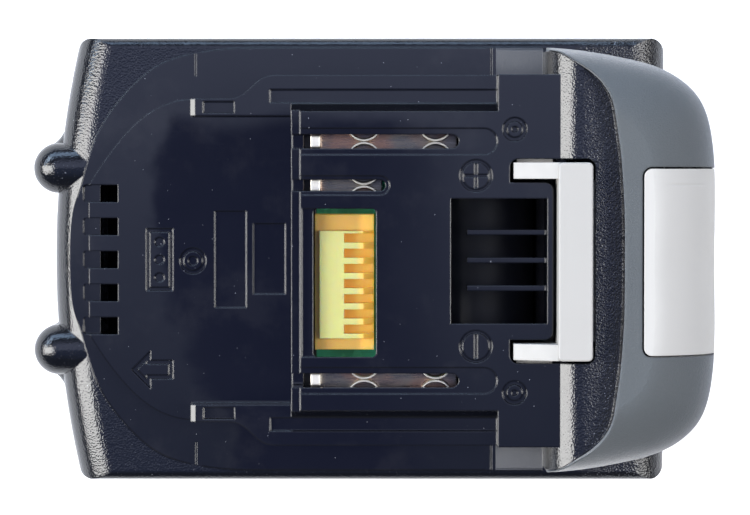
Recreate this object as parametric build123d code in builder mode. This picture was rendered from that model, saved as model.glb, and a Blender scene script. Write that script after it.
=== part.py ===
from build123d import *
import os

# Slide-on battery pack for cordless tools, ten round cells in a five by two block. Millimetres.
# X runs from the rear bumper knobs to the front grip, Y across the rails, Z up from the base.

# Overall size
rear_reach = 58.1
front_reach = 57.05
case_width = 75.0
overall_height = 62.0

# Heights of the top surfaces above the base
seam_z = 31.0
deck_z = 42.5
flange_step = 0.5
rear_floor_z = 45.0
lip_under_z = 47.4
lip_top_z = 50.0
plateau_z = 54.2
ledge_z = 55.4

# Shells
wall = 2.3
skin = 2.0
case_front_x = 49.55
front_corner_radius = 2.6
nose_reach = 4.45
nose_half_width = 25.0
nose_root_half_width = 31.0
nose_blend_radius = 5.0
rear_mid_x = -54.5
rear_wall_radius = 165.0
rear_corner_radius = 2.5
rear_edge_radius = 6.0
front_edge_radius = 6.0
side_edge_radius = 1.5
base_edge_radius = 1.5
knob_radius = 4.3
knob_y = 15.5
knob_outer_blend = 5.0
knob_inner_blend = 1.2
knob_edge_radius = 4.2
knob_neck = 8.6
knob_skirt_z = 37.5
knob_skirt_radius = 3.0

# Clearances
fit_gap = 0.15
bore_gap = 0.05
overrun = 1.0

# Cells and what holds them
cell_radius = 9.1
cell_length = 65.0
cell_pitch = 18.5
cell_columns = 5
cell_lift = 0.3
cell_groove_from_end = 3.2
cell_groove_width = 1.2
cell_groove_depth = 0.4
cell_cap_radius = 5.0
cell_rim_width = 1.2
cell_rim_depth = 0.5
insulator_thickness = 0.3
holder_depth = 11.0
holder_end_wall = 0.5
holder_top_clear = 0.5
strip_thickness = 0.3
strip_width = 8.0
strip_tab_width = 3.0
strip_fold = 4.5
sheet_thickness = 0.3
sheet_gap = 0.1

# Case screws and their posts
post_radius = 2.6
post_gap = 0.3
post_inset = 4.0
front_post_y = 19.0
screw_radius = 1.5
screw_length = 14.0
screw_head_radius = 2.7
screw_head_height = 2.0
screw_recess_radius = 3.0
screw_recess_depth = 3.0
screw_seat_radius = 3.7
socket_radius = 1.0
socket_depth = 1.2
pilot_extra = 1.0
post_web = 1.2

# Label panel and feet under the base
panel_length = 70.0
panel_width = 40.0
panel_depth = 0.4
panel_radius = 3.0
side_panel_length = 62.0
side_panel_z = (6.0, 26.0)
side_panel_depth = 0.3
side_panel_radius = 2.0
rib_thickness = 1.2
tongue_thickness = 1.2
tongue_depth = 2.5
tongue_half_length = 40.0

# Gloss flange and raised rear floor
flange_half_width = 35.8
flange_root_x = -20.0
flange_tip_x = -51.6
flange_shares = [(0.33, 0.975), (0.516, 0.922), (0.706, 0.779), (0.864, 0.567), (0.946, 0.335)]
floor_root_x = -31.1
floor_half_width = 27.1
floor_tip_x = -48.2
floor_tip_half_width = 12.6
floor_shares = [(0.40, 0.915), (0.69, 0.745), (0.906, 0.56)]

# Slide rails
rail_x = (-30.8, -17.0)
rail_half_widths = (24.2, 27.1)
rail_end_drop = 0.45
rail_end_slope = 0.85
rail_pocket_x = (-28.6, -23.4)
rail_pocket_half_widths = (24.7, 26.6)
rail_pocket_depth = 1.5
lip_x = (-16.6, 20.6)
lip_half_width = 31.05
lip_flare_x = -24.5
lip_jog_x = -17.4
channel_half_widths = (26.4, 28.6)
channel_depth = 0.8
groove_x = (-19.0, 19.9)
groove_half_width = 27.2

# Plateau that carries the contacts
plateau_rear_x = -13.8
plateau_half_width = 26.2
plateau_top_half_width = 24.9
plateau_step = 1.5
plateau_step_depth = 0.7
front_zone_x = 20.6
front_zone_half_width = 31.0

# Ramps beside the front zone
ramp_half_width = 35.5
ramp_rise = 1.5
ramp_end_x = 28.6

# Hump and soft front grip
hump_rear_x = 28.6
hump_edge_radius = 6.0
dome_root_x = 28.0
dome_half_width = 35.7
dome_low_z = 37.0
grip_start_x = 29.1
grip_thickness = 2.0
core_thickness = 2.2
dome_plan_shares = [(0.26, 0.983), (0.472, 0.952), (0.646, 0.916), (0.824, 0.838),
                    (0.913, 0.759), (0.981, 0.594), (1.0, 0.44)]
dome_height_shares = [0.0, 0.22, 0.44, 0.65, 0.80, 0.908, 0.974, 1.0]
dome_reach_shares = [0.955, 0.985, 1.0, 0.975, 0.90, 0.79, 0.69, 0.62]
dome_width_shares = [0.975, 0.99, 1.0, 0.985, 0.95, 0.88, 0.80, 0.74]
ledge_tip_x = 41.3
ledge_half_width = 35.0
ledge_shares = [(0.31, 0.954), (0.557, 0.897), (0.721, 0.837), (0.828, 0.766), (0.885, 0.657),
                (0.943, 0.514), (0.975, 0.369)]

# Release latch: a hook and a thumb button moulded as one piece
latch_travel = 4.0
hook_arm_x = 23.2
hook_spine_x = (30.4, 36.1)
hook_half_width = 16.4
hook_arm_width = 2.7
hook_top_z = 59.6
hook_ramp_drop = 1.3
hook_arm_z = 55.0
hook_foot_z = 50.0
hook_corner_radius = 0.8
hook_edge_radius = 0.3
hook_gap = 0.6
web_half_width = 13.5
web_thickness = 3.0
web_start_x = 34.0
web_end_x = 55.8
button_x = 44.3
button_half_width = 15.35
button_low_z = 51.0
button_gap = 0.3
button_thickness = 2.2
button_corner_radius = 1.3
apron_x = (52.6, 54.1)
apron_half_width = 13.0
apron_height = 4.0
spring_x = 40.0
spring_y = 9.0
spring_radius = 2.6
spring_wire = 0.6
spring_turns = 4.0
base_plate_x = (33.0, 46.0)
base_plate_half_width = 20.4
base_plate_thickness = 1.6
base_plate_top_z = 42.8
base_rib_half_widths = (17.6, 20.4)
base_rib_x = (35.0, 44.0)
base_screw_x = 39.5
base_screw_radius = 1.1
base_screw_length = 7.0
base_screw_head_radius = 2.0
base_screw_head_height = 0.8

# Air port
port_x = (12.8, 28.8)
port_half_width = 10.4
port_wall = 1.5
port_front_wall = 1.0
port_low_z = 43.0
port_rib_count = 3
port_rib_pitch = 4.7
port_rib_thickness = 0.9
port_rib_x = 15.6
port_rib_z = (44.0, 48.5)

# Contact slots in the plateau
slot_y = 19.9
slot_width = 2.35
slot_end_x = 14.1
slot_pocket_end_x = 20.5
slot_pocket_width = 4.4
slot_pocket_depth = 0.6
signal_slot_y = 12.6
signal_slot_width = 1.9
signal_slot_end_x = 1.9
signal_pocket_end_x = 2.6
signal_pocket_width = 3.2
slot_low_z = 46.0

# Terminals
terminal_x = (-10.6, 14.0)
signal_terminal_end_x = 1.4
terminal_base_width = 3.4
terminal_thickness = 0.7
terminal_floor_z = 47.5
terminal_top_z = 51.0
leaf_thickness = 0.35
leaf_spread = 1.35
leaf_pinch = 0.05
leaf_length = 4.7
pinch_x = (-1.66, 10.3)
terminal_block_length = 1.6
terminal_block_width = 1.9

# Signal connector
window_x = (-10.1, 0.33)
window_sill_x = -12.0
window_sill_depth = 1.0
window_y = (-15.96, 8.73)
window_corner_radius = 0.7
housing_x = (-9.9, 0.0)
housing_y = (-14.9, 7.73)
housing_top_z = 51.5
housing_ledge_drop = 1.2
housing_ledge_x = -9.1
housing_ledge_y = (-13.0, 5.0)
finger_slope = 1.8
finger_drop = 1.2
comb_count = 7
comb_pitch = 2.54
comb_first_y = 3.8
comb_slot_width = 1.5
comb_slot_x = -5.0
comb_slot_z = 48.6
pin_thickness = 0.64
pin_top_z = 48.2
pin_x = (-4.4, -1.0)

# Circuit board and what is on it
board_x = (-30.0, 11.0)
board_half_width = 23.5
board_thickness = 1.6
board_lift = 0.4
board_corner_radius = 1.0
board_screw_inset = 2.1
board_screw_radius = 1.0
board_screw_length = 5.0
board_screw_head_radius = 1.8
board_screw_head_height = 0.9
pad_radius = 2.6
chip_size = 7.0
chip_height = 1.0
chip_x = -20.0
chip_y = 7.0
transistor_length = 6.0
transistor_width = 5.0
transistor_height = 1.0
transistor_x = -20.0
transistor_y = -12.0
transistor_pitch = 6.5
transistor_count = 2
capacitor_radius = 2.2
capacitor_height = 5.4
capacitor_x = 6.5
capacitor_y = 6.0
capacitor_pitch = 5.4
capacitor_count = 3
fuse_size = (6.0, 3.2, 1.6)
fuse_x = 6.0
fuse_y = -9.0
thermistor_radius = 1.4
thermistor_x = 5.5
thermistor_y = -14.5

# Vents through the rear floor
vent_count = 5
vent_pitch = 5.59
vent_x = (-49.3, -43.3)
vent_width = 2.9
vent_corner_radius = 0.5
vent_ledge_x = -46.5
vent_ledge_z = 41.6

# Marks and recesses on the cover
recess_depth = 0.4
recess_a = (-26.9, -21.6, -8.1, 8.2)
recess_b = (-20.4, -15.0, -5.8, 6.1)
frame_panel = (-38.5, -34.0, -5.25, 5.25)
frame_panel_band = 0.6
frame_dot_radius = 0.8
frame_dot_count = 3
frame_dot_pitch = 3.0
blind_hole = (-30.6, -0.2)
blind_hole_radius = 1.6
blind_hole_band = 0.6
arrow_x = -37.5
arrow_y = -18.6
arrow_length = 7.0
arrow_head = 3.2
arrow_line = 0.7
polarity_x = 16.95
polarity_y = 14.2
polarity_radius = 2.7
polarity_line = 0.45
polarity_stroke = 4.0
polarity_depth = 0.35
dimple_x = 23.4
dimple_y = 21.9
dimple_radius = 2.0
dimple_depth = 0.8
dimple_ring_radius = 1.3
dimple_dot_radius = 0.5
witness_x = (-30.2, 19.9)
witness_width = 0.3
witness_depth = 0.15

# Worked out from the sizes above
overall_length = rear_reach + front_reach
half_width = case_width / 2
knob_x = knob_radius - rear_reach
nose_x = case_front_x + nose_reach
flange_z = deck_z + flange_step
rear_post_x = rear_mid_x + post_inset
front_post_x = nose_x - post_inset - post_gap
post_bottom_z = wall + screw_recess_depth
post_places = [(rear_post_x, knob_y), (rear_post_x, -knob_y),
               (front_post_x, front_post_y), (front_post_x, -front_post_y)]
cell_low_z = wall + cell_lift + cell_radius
cell_high_z = cell_low_z + cell_pitch
cell_top_z = cell_high_z + cell_radius
cell_end_y = cell_length / 2
block_half_length = cell_pitch * (cell_columns - 1) / 2 + cell_radius + holder_end_wall
holder_top_z = cell_top_z + holder_top_clear
board_z = holder_top_z + board_lift
board_top_z = board_z + board_thickness
far = overall_length

os.makedirs("parts", exist_ok=True)


def block(x, y, z, mode=Mode.ADD):
    """A box between two corners, given as ranges along each axis."""
    with Locations(((x[0] + x[1]) / 2, (y[0] + y[1]) / 2, (z[0] + z[1]) / 2)):
        Box(x[1] - x[0], y[1] - y[0], z[1] - z[0], mode=mode)


def post(x, y, radius, z, mode=Mode.ADD):
    """An upright cylinder at x, y between two heights."""
    with Locations((x, y, (z[0] + z[1]) / 2)):
        Cylinder(radius, z[1] - z[0], mode=mode)


def span(centre, width):
    """The range of a given width about a centre."""
    return (centre - width / 2, centre + width / 2)


def save(part, name):
    """Names a finished piece and writes it to its own file."""
    part.label = name
    export_step(part, f"parts/{name}.step")


def near(vertex, x, y):
    """How far a vertex lies from a place in plan."""
    return ((vertex.X - x) ** 2 + (vertex.Y - y) ** 2) ** 0.5


# Plan outlines

def rear_region(inset, knobs):
    """Everything in front of the bowed rear wall, with or without the two bumper knobs."""
    radius = rear_wall_radius - inset
    with BuildSketch() as region:
        with Locations((rear_mid_x + rear_wall_radius, 0)):
            Circle(radius)
        if knobs:
            with Locations((knob_x, knob_y), (knob_x, -knob_y)):
                Circle(knob_radius)
            corners = region.vertices().filter_by(lambda v: abs(abs(v.Y) - knob_y) < 2 * knob_radius)
            corners = corners.filter_by(lambda v: v.X < 0)
            outer = [v for v in corners if abs(v.Y) > knob_y]
            inner = [v for v in corners if abs(v.Y) < knob_y]
            fillet(outer, knob_outer_blend)
            fillet(inner[:1], knob_inner_blend)
            rest = region.vertices().filter_by(lambda v: abs(v.Y) < knob_y and v.X < 0)
            rest = [v for v in rest if near(v, inner[1].X, inner[1].Y) < knob_inner_blend / 2]
            fillet(rest, knob_inner_blend)
    return region.sketch


def front_region(inset):
    """The straight sides and the stepped front wall, running far back past the rear wall."""
    with BuildSketch() as region:
        with BuildLine():
            points = [(-far, half_width), (case_front_x, half_width),
                      (case_front_x, nose_root_half_width), (nose_x, nose_half_width)]
            mirrored = [(x, -y) for x, y in reversed(points)]
            Polyline(*points, *mirrored, close=True)
        make_face()
        ahead = region.vertices().filter_by(lambda v: v.X > 0)
        fillet(ahead.filter_by(lambda v: abs(v.Y) < half_width - fit_gap), nose_blend_radius / 2)
        fillet(region.vertices().filter_by(lambda v: v.X > 0 and abs(v.Y) > half_width - fit_gap),
               front_corner_radius)
        if inset:
            offset(amount=-inset, kind=Kind.INTERSECTION, mode=Mode.REPLACE)
    return region.sketch


def case_plan(inset, knobs=False):
    """The closed plan of the case, shrunk by an inset."""
    with BuildSketch() as plan:
        add(rear_region(inset, knobs))
        add(front_region(inset), mode=Mode.INTERSECT)
        if not inset:
            rear = plan.vertices().filter_by(lambda v: v.X < 0 and abs(v.Y) > half_width - fit_gap)
            fillet(rear, rear_corner_radius)
    return plan.sketch


def bow_plan(root_x, tip_x, half, shares, tip_half, front_x):
    """A plan that is straight at the sides and bows to a tip along X, mirrored about the middle."""
    reach = tip_x - root_x
    points = [(root_x, half)] + [(root_x + sx * reach, sy * half) for sx, sy in shares]
    with BuildSketch() as plan:
        with BuildLine():
            direction = 1 if reach > 0 else -1
            if tip_half:
                Spline(*points, (tip_x, tip_half))
                Line((tip_x, tip_half), (tip_x, 0))
            else:
                Spline(*points, (tip_x, 0), tangents=[(direction, 0), (0, -1)])
            Line((root_x, half), (front_x, half))
            Line((front_x, half), (front_x, 0))
            mirror(about=Plane.XZ)
        make_face()
    return plan.sketch


# Soft rounded body of the front, used for the grip and, thinner, for the shell under it

def dome(inset):
    """The rounded front body, smaller on the outside by an inset."""
    rise = overall_height - dome_low_z
    reach = front_reach - dome_root_x
    with BuildPart() as body:
        for share, reach_share, width_share in zip(dome_height_shares, dome_reach_shares, dome_width_shares):
            z = dome_low_z + share * (rise - inset)
            length = reach * reach_share - inset
            half = dome_half_width * width_share - inset
            with BuildSketch(Plane.XY.offset(z)):
                with BuildLine():
                    side = [(dome_root_x + sx * length, sy * half) for sx, sy in dome_plan_shares]
                    tip = (dome_root_x + length, 0)
                    other = [(x, -y) for x, y in reversed(side)]
                    Spline((dome_root_x, half), *side, tip, *other, (dome_root_x, -half))
                    Line((dome_root_x, -half), (dome_root_x, half))
                make_face()
        loft()
    return body.part


outer_dome = dome(0)
core_dome = dome(grip_thickness)
hollow_dome = dome(grip_thickness + core_thickness)

# Lower case: a tub with four screw seats and ribs that hold the cell block

inner_half = half_width - wall
sheet_y = cell_end_y + strip_thickness + sheet_gap
rib_places = [(column - cell_columns / 2 + 1) * cell_pitch for column in range(cell_columns - 1)]

with BuildPart() as lower_case:
    with BuildSketch():
        add(case_plan(0, knobs=True))
    extrude(amount=seam_z)
    fillet(lower_case.edges().group_by(Axis.Z)[0], base_edge_radius)
    with BuildSketch(Plane.XY.offset(wall)):
        add(case_plan(wall))
    extrude(amount=seam_z, mode=Mode.SUBTRACT)
    for x, y in post_places:
        post(x, y, post_radius + post_gap, (post_bottom_z, seam_z + overrun), mode=Mode.SUBTRACT)
        with BuildSketch(Plane.XY.offset(wall)):
            with Locations((x, y)):
                Circle(screw_seat_radius)
            add(case_plan(wall), mode=Mode.INTERSECT)
        extrude(amount=screw_recess_depth)
        post(x, y, screw_recess_radius, (0, screw_recess_depth), mode=Mode.SUBTRACT)
        post(x, y, screw_radius + fit_gap, (0, post_bottom_z), mode=Mode.SUBTRACT)
    for x in rib_places:
        for side in (1, -1):
            rib_y = sorted((side * (sheet_y + sheet_thickness + sheet_gap), side * (inner_half + fit_gap)))
            block(span(x, rib_thickness), rib_y, (wall - fit_gap, seam_z - tongue_depth - fit_gap))
    with BuildSketch():
        RectangleRounded(panel_length, panel_width, panel_radius)
    extrude(amount=panel_depth, mode=Mode.SUBTRACT)
    for side in (1, -1):
        with BuildSketch(Plane.XZ.offset(side * half_width)):
            with Locations((0, sum(side_panel_z) / 2)):
                RectangleRounded(side_panel_length, side_panel_z[1] - side_panel_z[0], side_panel_radius)
        extrude(amount=-side * side_panel_depth, mode=Mode.SUBTRACT)
save(lower_case.part, "lower_case")

# Shapes shared by the upper cover and the grip

flange_plan = bow_plan(flange_root_x, flange_tip_x, flange_half_width, flange_shares, 0, ramp_end_x)
floor_plan = bow_plan(floor_root_x, floor_tip_x, floor_half_width, floor_shares,
                      floor_tip_half_width, ramp_end_x)
floor_hollow_plan = bow_plan(floor_root_x, floor_tip_x + skin, floor_half_width - skin, floor_shares,
                             floor_tip_half_width - skin, ramp_end_x - skin)
ledge_plan = bow_plan(grip_start_x, ledge_tip_x, ledge_half_width, ledge_shares, 0, dome_root_x)

with BuildPart() as rear_wall:
    with BuildSketch(Plane.XY.offset(seam_z)):
        add(rear_region(0, False))
    extrude(amount=deck_z - seam_z)
    fillet(rear_wall.edges().group_by(Axis.Z)[-1], rear_edge_radius)

with BuildPart() as knob_skirt:
    with BuildSketch(Plane.XY.offset(seam_z)):
        add(rear_region(0, True))
    extrude(amount=knob_skirt_z - seam_z)
    fillet(knob_skirt.edges().group_by(Axis.Z)[-1], knob_skirt_radius)

with BuildPart() as knob_tops:
    with BuildSketch(Plane.XY.offset(seam_z)):
        for side in (1, -1):
            with Locations((knob_x, side * knob_y)):
                Circle(knob_radius)
            with Locations((knob_x + knob_neck / 2, side * knob_y)):
                Rectangle(knob_neck, 2 * knob_radius)
    extrude(amount=deck_z - seam_z)
    knob_edges = knob_tops.edges().group_by(Axis.Z)[-1]
    fillet(knob_edges.filter_by(lambda e: e.center().X < knob_x + knob_neck - fit_gap), knob_edge_radius)

with BuildPart() as rear_rounding:
    add(rear_wall.part)
    add(knob_skirt.part)
    add(knob_tops.part)

with BuildPart() as side_rounding:
    with BuildSketch(Plane.XY.offset(seam_z)):
        add(front_region(0))
    extrude(amount=deck_z - seam_z)
    fillet(side_rounding.edges().group_by(Axis.Z)[-1], side_edge_radius)

with BuildPart() as front_rounding:
    for side in (1, -1):
        block((case_front_x - front_edge_radius, case_front_x + overrun),
              sorted((side * (nose_root_half_width - overrun), side * (half_width + overrun))),
              (deck_z - front_edge_radius, deck_z + overrun))
    with Locations((case_front_x - front_edge_radius, 0, deck_z - front_edge_radius)):
        Cylinder(front_edge_radius, case_width + 2 * overrun + fit_gap, rotation=(90, 0, 0), mode=Mode.SUBTRACT)

with BuildPart() as hump:
    with BuildSketch(Plane.XY.offset(deck_z)):
        add(ledge_plan)
    extrude(amount=ledge_z - deck_z)
    block((dome_root_x - overrun, hump_rear_x), (-half_width, half_width), (0, overall_height),
          mode=Mode.SUBTRACT)
    rear_edges = hump.edges().filter_by(Axis.Y).group_by(Axis.Z)[-1]
    fillet(rear_edges.sort_by(Axis.X)[0], hump_edge_radius)
    add(outer_dome, mode=Mode.INTERSECT)

with BuildPart() as core:
    add(core_dome)
    with BuildSketch(Plane.XY.offset(deck_z)):
        add(ledge_plan)
    extrude(amount=overall_height, mode=Mode.SUBTRACT)
    block((dome_root_x - overrun, hump_rear_x), (-half_width, half_width), (0, overall_height),
          mode=Mode.SUBTRACT)

with BuildPart() as hump_hollow:
    add(hollow_dome)
    block((hump_rear_x + skin + hump_edge_radius / 3, front_reach), (-half_width, half_width),
          (deck_z - wall - overrun, ledge_z - skin), mode=Mode.INTERSECT)

# The openings for the thumb button, through the cover and, less deep, through the grip
with BuildSketch(Plane.XY.offset(button_low_z - apron_height - latch_travel - button_gap)) as button_hole:
    hole_x = (button_x - button_gap, front_reach + overrun)
    with Locations((sum(hole_x) / 2, 0)):
        RectangleRounded(hole_x[1] - hole_x[0], 2 * (button_half_width + button_gap),
                         button_corner_radius + button_gap)

# Upper cover: deck, flange, raised floor, rails, plateau and hump in one moulding

latch_hole_x = (hook_arm_x - hook_gap, hook_spine_x[1] + hook_gap)
tongue_x = hook_spine_x[0] - hook_gap
tongue_half_width = hook_half_width - hook_arm_width - hook_gap
hollow_top_z = plateau_z - skin
plateau_front_x = hump_rear_x + hump_edge_radius / 2
hollow_half_width = slot_y + terminal_base_width

with BuildPart() as upper_cover:
    with BuildSketch(Plane.XY.offset(seam_z)):
        add(case_plan(0, knobs=True))
    extrude(amount=deck_z - seam_z)
    add(rear_rounding.part, mode=Mode.INTERSECT)
    add(side_rounding.part, mode=Mode.INTERSECT)
    add(front_rounding.part, mode=Mode.SUBTRACT)

    with BuildSketch(Plane.XY.offset(deck_z)):
        add(flange_plan)
    extrude(amount=flange_step)
    with BuildSketch(Plane.XY.offset(flange_z)):
        add(floor_plan)
    extrude(amount=rear_floor_z - flange_z)

    # Rails: a narrow rear bar that widens to the lip over the side groove
    with BuildSketch(Plane.XY.offset(rear_floor_z)):
        with BuildLine():
            Line((rail_x[0], rail_half_widths[0]), (rail_x[0], rail_half_widths[1]))
            Line((rail_x[0], rail_half_widths[1]), (lip_flare_x, rail_half_widths[1]))
            Spline((lip_flare_x, rail_half_widths[1]), (lip_x[0], lip_half_width), tangents=[(1, 0), (1, 0)])
            Line((lip_x[0], lip_half_width), (lip_x[1], lip_half_width))
            Line((lip_x[1], lip_half_width), (lip_x[1], rail_half_widths[0]))
            Line((lip_x[1], rail_half_widths[0]), (rail_x[0], rail_half_widths[0]))
        make_face()
        mirror(about=Plane.XZ)
    extrude(amount=lip_top_z - rear_floor_z)
    rail_ends = upper_cover.edges().filter_by(Axis.Y)
    rail_ends = rail_ends.filter_by(lambda e: abs(e.center().X - rail_x[0]) < fit_gap
                                    and abs(e.center().Z - lip_top_z) < fit_gap)
    chamfer(rail_ends, length=rail_end_drop, length2=rail_end_slope)
    for side in (1, -1):
        block(groove_x, sorted((side * groove_half_width, side * half_width)), (flange_z, lip_under_z),
              mode=Mode.SUBTRACT)
        block(rail_pocket_x, sorted(side * y for y in rail_pocket_half_widths),
              (lip_top_z - rail_pocket_depth, lip_top_z), mode=Mode.SUBTRACT)
        block((lip_jog_x, lip_x[1]), sorted(side * y for y in channel_half_widths),
              (lip_top_z - channel_depth, lip_top_z), mode=Mode.SUBTRACT)

    # Plateau, its slanted sides and the wider front zone
    with BuildSketch(Plane.YZ.offset(plateau_rear_x)):
        with BuildLine():
            Polyline((-plateau_half_width, rear_floor_z), (-plateau_half_width, lip_top_z),
                     (-plateau_top_half_width, plateau_z), (plateau_top_half_width, plateau_z),
                     (plateau_half_width, lip_top_z), (plateau_half_width, rear_floor_z), close=True)
        make_face()
    extrude(amount=plateau_front_x - plateau_rear_x)
    block((plateau_rear_x, plateau_rear_x + plateau_step), (-plateau_half_width, plateau_half_width),
          (plateau_z - plateau_step_depth, plateau_z), mode=Mode.SUBTRACT)
    block((front_zone_x, plateau_front_x), (-front_zone_half_width, front_zone_half_width),
          (deck_z, plateau_z))

    # Ramps beside the front zone
    with BuildSketch(Plane.XZ.offset(-ramp_half_width)):
        with BuildLine():
            Polyline((front_zone_x, deck_z), (front_zone_x, flange_z), (ramp_end_x, flange_z + ramp_rise),
                     (plateau_front_x, flange_z + ramp_rise), (plateau_front_x, deck_z), close=True)
        make_face()
    extrude(amount=2 * ramp_half_width)

    add(hump.part)
    add(core.part)

    # Hollow inside, in steps that follow the top
    with BuildSketch(Plane.XY.offset(seam_z)):
        add(case_plan(wall))
    extrude(amount=deck_z - wall - seam_z, mode=Mode.SUBTRACT)
    with BuildSketch(Plane.XY.offset(deck_z - wall - fit_gap)):
        add(floor_hollow_plan)
    extrude(amount=rear_floor_z - skin - (deck_z - wall) + fit_gap, mode=Mode.SUBTRACT)
    block((plateau_rear_x + skin, hump_rear_x + skin), (-hollow_half_width, hollow_half_width),
          (deck_z - wall - fit_gap, hollow_top_z), mode=Mode.SUBTRACT)
    add(hump_hollow.part, mode=Mode.SUBTRACT)

    # Air port walls, screw posts, spring plate ribs and the tongues that locate the lower case
    block((port_x[0] - port_wall, port_x[1] + port_front_wall),
          (-port_half_width - port_wall, port_half_width + port_wall), (port_low_z, plateau_z))
    for x, y in post_places:
        top = deck_z - wall if x < 0 else ledge_z - skin - core_thickness
        post(x, y, post_radius, (post_bottom_z, top + fit_gap))
        if x > 0:
            block((x, nose_x - wall + fit_gap), span(y, post_web), (seam_z, deck_z))
    for side in (1, -1):
        block(base_rib_x, sorted(side * y for y in base_rib_half_widths),
              (base_plate_top_z, ledge_z - skin + fit_gap))
        block((-tongue_half_length, tongue_half_length),
              sorted((side * (inner_half + fit_gap), side * (inner_half - fit_gap - tongue_thickness))),
              (seam_z, seam_z + tongue_depth))
        block((-tongue_half_length, tongue_half_length),
              sorted((side * (inner_half - fit_gap), side * (inner_half - fit_gap - tongue_thickness))),
              (seam_z - tongue_depth, seam_z))

    # Pilot holes
    for x, y in post_places:
        post(x, y, screw_radius + bore_gap, (post_bottom_z, screw_recess_depth + screw_length + pilot_extra),
             mode=Mode.SUBTRACT)
    for side in (1, -1):
        post(base_screw_x, side * sum(base_rib_half_widths) / 2, base_screw_radius + bore_gap,
             (base_plate_top_z, base_plate_top_z + base_screw_length), mode=Mode.SUBTRACT)

    # Air port
    block(port_x, (-port_half_width, port_half_width), (deck_z - wall, plateau_z), mode=Mode.SUBTRACT)
    for index in range(port_rib_count):
        y = (index - (port_rib_count - 1) / 2) * port_rib_pitch
        block((port_rib_x, port_x[1]), span(y, port_rib_thickness), port_rib_z)

    # Contact slots, open at the plateau's rear face, each in a shallow pocket
    for y, width, end_x, pocket_width, pocket_x in (
        (slot_y, slot_width, slot_end_x, slot_pocket_width, slot_pocket_end_x),
        (-slot_y, slot_width, slot_end_x, slot_pocket_width, slot_pocket_end_x),
        (signal_slot_y, signal_slot_width, signal_slot_end_x, signal_pocket_width, signal_pocket_end_x),
    ):
        with BuildSketch(Plane.XY.offset(slot_low_z)):
            with Locations(((plateau_rear_x + end_x - width / 2) / 2, y)):
                Rectangle(end_x - width / 2 - plateau_rear_x, width)
            with Locations((end_x - width / 2, y)):
                Circle(width / 2)
        extrude(amount=plateau_z - slot_low_z, mode=Mode.SUBTRACT)
        with BuildSketch(Plane.XY.offset(plateau_z - slot_pocket_depth)):
            with Locations(((plateau_rear_x + pocket_x - pocket_width / 2) / 2, y)):
                Rectangle(pocket_x - pocket_width / 2 - plateau_rear_x, pocket_width)
            with Locations((pocket_x - pocket_width / 2, y)):
                Circle(pocket_width / 2)
        extrude(amount=slot_pocket_depth, mode=Mode.SUBTRACT)

    # Connector window, with a low sill behind it
    block((window_sill_x, sum(window_x) / 2), window_y, (plateau_z - window_sill_depth, plateau_z),
          mode=Mode.SUBTRACT)
    with BuildSketch(Plane.XY.offset(hollow_top_z - fit_gap)):
        with Locations((sum(window_x) / 2, sum(window_y) / 2)):
            RectangleRounded(window_x[1] - window_x[0], window_y[1] - window_y[0], window_corner_radius)
    extrude(amount=skin + fit_gap, mode=Mode.SUBTRACT)

    # Latch opening: a rectangle around a tongue, and the button opening
    with BuildSketch(Plane.XY.offset(hook_foot_z - latch_travel)):
        with Locations((sum(latch_hole_x) / 2, 0)):
            RectangleRounded(latch_hole_x[1] - latch_hole_x[0], 2 * (hook_half_width + hook_gap),
                             hook_corner_radius + hook_gap)
        with Locations((tongue_x / 2, 0)):
            RectangleRounded(tongue_x, 2 * tongue_half_width, hook_corner_radius + hook_gap,
                             mode=Mode.SUBTRACT)
    extrude(amount=ledge_z, mode=Mode.SUBTRACT)
    add(button_hole.sketch)
    extrude(amount=overall_height, mode=Mode.SUBTRACT)

    # Vents: each opens through the floor, with a ledge in its rear half
    for index in range(vent_count):
        y = (index - (vent_count - 1) / 2) * vent_pitch
        with BuildSketch(Plane.XY.offset(vent_ledge_z)):
            with Locations((sum(vent_x) / 2, y)):
                RectangleRounded(vent_x[1] - vent_x[0], vent_width, vent_corner_radius)
        extrude(amount=rear_floor_z, mode=Mode.SUBTRACT)
        block((vent_ledge_x, vent_x[1]), span(y, vent_width), (seam_z, rear_floor_z), mode=Mode.SUBTRACT)

    # Recesses in the rear floor
    for x0, x1, y0, y1 in (recess_a, recess_b):
        block((x0, x1), (y0, y1), (rear_floor_z - recess_depth, rear_floor_z), mode=Mode.SUBTRACT)
    with BuildSketch(Plane.XY.offset(rear_floor_z - recess_depth)):
        x0, x1, y0, y1 = frame_panel
        with Locations(((x0 + x1) / 2, (y0 + y1) / 2)):
            Rectangle(x1 - x0, y1 - y0)
            Rectangle(x1 - x0 - 2 * frame_panel_band, y1 - y0 - 2 * frame_panel_band, mode=Mode.SUBTRACT)
            with GridLocations(frame_dot_pitch, frame_dot_pitch, 1, frame_dot_count):
                Circle(frame_dot_radius)
        with Locations(blind_hole):
            Circle(blind_hole_radius + blind_hole_band)
            Circle(blind_hole_radius, mode=Mode.SUBTRACT)
            Circle(frame_dot_radius)
    extrude(amount=recess_depth, mode=Mode.SUBTRACT)

    # Insertion arrow, an outline
    with BuildSketch(Plane.XY.offset(rear_floor_z - recess_depth)):
        with BuildLine():
            tip = arrow_x - arrow_length / 2
            neck = tip + arrow_head
            tail = arrow_x + arrow_length / 2
            Polyline((tip, arrow_y), (neck, arrow_y + arrow_head), (neck, arrow_y + arrow_head / 2),
                     (tail, arrow_y + arrow_head / 2), (tail, arrow_y - arrow_head / 2),
                     (neck, arrow_y - arrow_head / 2), (neck, arrow_y - arrow_head), close=True)
        make_face()
        offset(amount=-arrow_line, kind=Kind.INTERSECTION, mode=Mode.SUBTRACT)
    extrude(amount=recess_depth, mode=Mode.SUBTRACT)

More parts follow.
